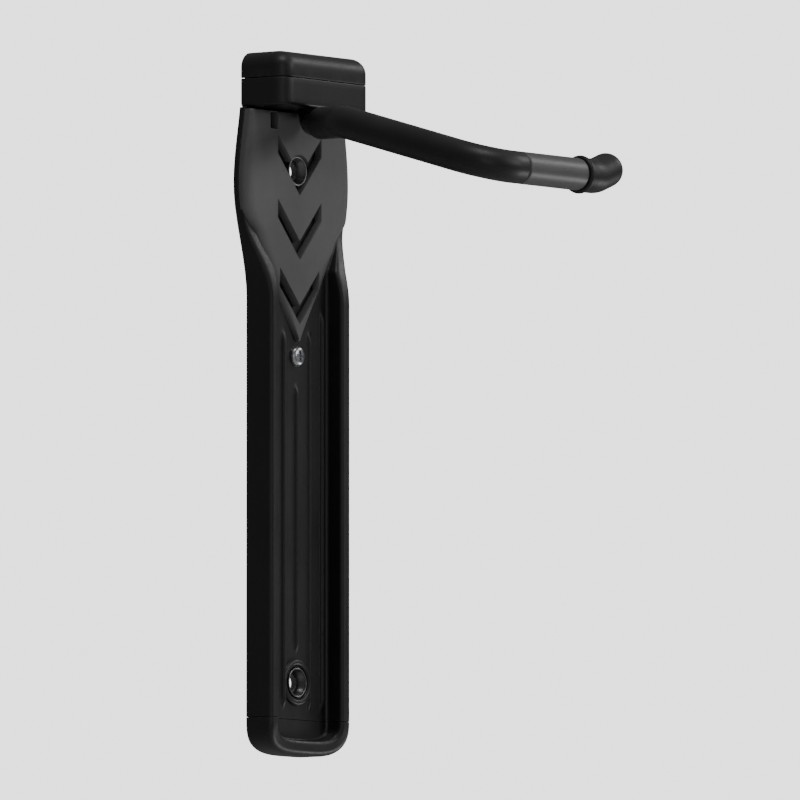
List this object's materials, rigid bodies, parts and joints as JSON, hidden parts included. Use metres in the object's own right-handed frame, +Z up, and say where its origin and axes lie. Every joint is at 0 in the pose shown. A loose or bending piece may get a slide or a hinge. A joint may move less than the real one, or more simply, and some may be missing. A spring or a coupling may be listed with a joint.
{
  "type": "bicycle wall rack",
  "caption": "Vertical bicycle rack for a wall: a moulded tyre track with a grip pad, and a swivelling coated hook that the front wheel hangs from.",
  "frame": {"origin": "middle of the line through the two wall-screw holes, on the back face of the wall plate", "axes": "+Z up along the track, +Y into the wall, +X to the right as seen from the room"},
  "size_m": [0.099, 0.1463, 0.304],
  "materials": {
    "plate_steel": "satin black coating",
    "black_moulding": "fine moulded grain",
    "grey_rubber": "matte, fine grain",
    "dark_zinc": "dark zinc",
    "bright_zinc": "bright zinc",
    "bush_plastic": "natural acetal",
    "black_coated_steel": "satin powder coat",
    "black_rubber": "satin",
    "dark_grey_rubber": "satin"
  },
  "bodies": {
    "rack": {"wall_plate": "plate_steel", "track_body": "black_moulding", "end_cap": "black_moulding", "grip_pad": "grey_rubber", "cup_washers": "dark_zinc", "centre_screw": "bright_zinc", "track_screws": "bright_zinc", "pivot_bracket": "plate_steel", "bracket_screws": "bright_zinc", "lower_bush": "bush_plastic", "upper_bush": "bush_plastic", "head_housing": "black_moulding", "head_cover": "black_moulding", "housing_screws": "bright_zinc", "cover_screws": "dark_zinc"},
    "hook": {"hook_rod": "black_coated_steel", "arm_sleeve": "black_rubber", "peg_sleeve": "dark_grey_rubber", "tip_cap": "black_rubber", "stop_pin": "bright_zinc", "thrust_washer": "bright_zinc", "retaining_ring": "dark_zinc"}
  },
  "joints": [
    {"name": "hook_swivel", "type": "hinge", "parent": "rack", "child": "hook", "pos_m": [0, -0.0128, 0.148], "axis": [0, 0, 1], "range_deg": [-45, 45]}
  ]
}
